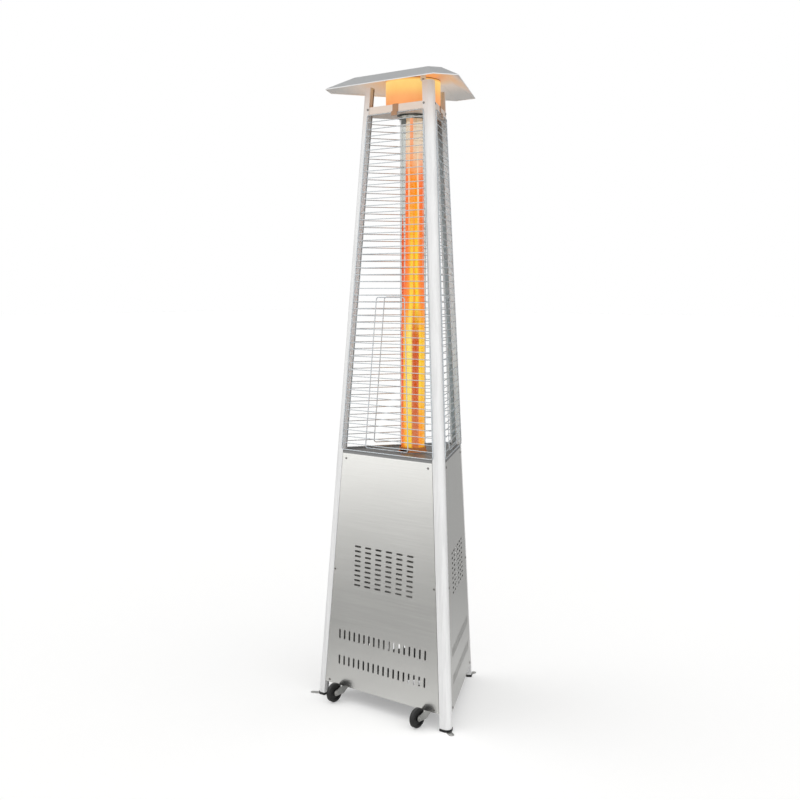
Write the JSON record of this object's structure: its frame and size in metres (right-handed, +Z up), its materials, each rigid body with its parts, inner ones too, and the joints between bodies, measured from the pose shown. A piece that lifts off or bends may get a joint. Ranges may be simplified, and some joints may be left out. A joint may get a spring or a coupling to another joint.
{
  "type": "propane patio heater",
  "caption": "Tall three-sided propane patio heater with a glass flame tube behind wire guards, a hexagonal canopy, a louvred steel cabinet and casters.",
  "frame": {"origin": "on the glass tube's axis at floor level, which is the centre of the circle through the three ground anchor holes", "axes": "+Z up; the side with the casters faces -Y; the corner post opposite it stands towards +Y; the gas controls and the access door face azimuth 150 degrees from +X"},
  "size_m": [0.7006, 0.6598, 2.34],
  "materials": {
    "post_steel": "brushed along the post",
    "panel_steel": "brushed, satin",
    "canopy_steel": "brushed, satin",
    "deck_steel": "satin",
    "head_steel": "satin, warmed by the flame",
    "clip_steel": "heat tinted",
    "screen_steel": "heat tinted, lit from inside",
    "seat_steel": "satin, lit by the flame",
    "ring_steel": "dark, heat tinted",
    "inner_steel": "mill finish",
    "guard_wire": "bright",
    "tube_glass": "clear",
    "zinc_plate": "zinc plated",
    "fastener_steel": "bright",
    "foot_rubber": "matt",
    "wheel_rubber": "matt",
    "burner_iron": "dark",
    "brass_fitting": "turned",
    "copper_tube": "bright copper",
    "alloy_pipe": "drawn",
    "valve_alloy": "cast",
    "lead_rubber": "matt",
    "control_plastic": "matt",
    "button_plastic": "gloss"
  },
  "bodies": {
    "heater": {"corner_post_left": "post_steel", "corner_post_right": "post_steel", "corner_post_rear": "post_steel", "foot_cap_left": "foot_rubber", "foot_cap_right": "foot_rubber", "foot_cap_rear": "foot_rubber", "anchor_tab_left": "zinc_plate", "anchor_tab_right": "zinc_plate", "anchor_tab_rear": "zinc_plate", "base_tray": "inner_steel", "tank_ring": "inner_steel", "caster_side_panel": "panel_steel", "right_side_panel": "panel_steel", "control_fascia": "panel_steel", "deck_rail_caster": "inner_steel", "deck_rail_right": "inner_steel", "deck_rail_control": "inner_steel", "deck_plate": "deck_steel", "tube_seat": "seat_steel", "glass_tube": "tube_glass", "tube_top_ring": "ring_steel", "upper_plate": "head_steel", "hood_clips": "clip_steel", "flame_screen": "screen_steel", "guard_caster_side": "guard_wire", "guard_right_side": "guard_wire", "guard_control_side": "guard_wire", "canopy": "canopy_steel", "canopy_brackets": "zinc_plate", "canopy_fasteners": "fastener_steel", "burner_housing": "inner_steel", "burner_head": "burner_iron", "gas_injector": "brass_fitting", "valve_body": "valve_alloy", "gas_inlet": "brass_fitting", "igniter_body": "control_plastic", "pilot_burner": "burner_iron", "thermocouple": "copper_tube", "pilot_pipe": "alloy_pipe", "ignition_electrode": "lead_rubber", "supply_pipe": "alloy_pipe", "tilt_switch": "control_plastic", "hinge_post_leaves": "fastener_steel", "hinge_pins": "fastener_steel", "magnetic_catch": "control_plastic", "panel_brackets": "zinc_plate", "body_screws": "fastener_steel", "deck_screws": "fastener_steel", "caster_brackets": "zinc_plate", "caster_axles": "zinc_plate", "caster_bolts": "fastener_steel"},
    "left_wheel": {"caster_wheel_left": "wheel_rubber"},
    "right_wheel": {"caster_wheel_right": "wheel_rubber"},
    "stem": {"valve_stem": "brass_fitting"},
    "knob": {"control_knob": "control_plastic"},
    "button": {"igniter_button": "button_plastic"},
    "door": {"access_door": "panel_steel", "hinge_door_leaves": "fastener_steel", "door_handle": "control_plastic", "door_strike": "zinc_plate"}
  },
  "joints": [
    {"name": "left_wheel_spin", "type": "hinge", "parent": "heater", "child": "left_wheel", "pos_m": [-0.204, -0.22088, 0.0375], "axis": [1, 0, 0], "continuous": true},
    {"name": "right_wheel_spin", "type": "hinge", "parent": "heater", "child": "right_wheel", "pos_m": [0.204, -0.22088, 0.0375], "axis": [1, 0, 0], "continuous": true},
    {"name": "gas_valve_turn", "type": "hinge", "parent": "heater", "child": "stem", "pos_m": [-0.10525, 0.13005, 0.862], "axis": [-0.8653, 0.4996, 0.0412], "range_deg": [0, 240]},
    {"name": "knob_push", "type": "slide", "parent": "stem", "child": "knob", "axis": [0.8653, -0.4996, -0.0412], "range_m": [0, 0.004], "stiffness_N_per_m": 600},
    {"name": "igniter_push", "type": "slide", "parent": "heater", "child": "button", "axis": [0.8653, -0.4996, -0.0412], "range_m": [0, 0.004], "stiffness_N_per_m": 600},
    {"name": "door_hinge", "type": "hinge", "parent": "heater", "child": "door", "pos_m": [-0.02778, 0.33093, 0.17], "axis": [0, 0.0822, -0.9966], "range_deg": [0, 105]}
  ]
}
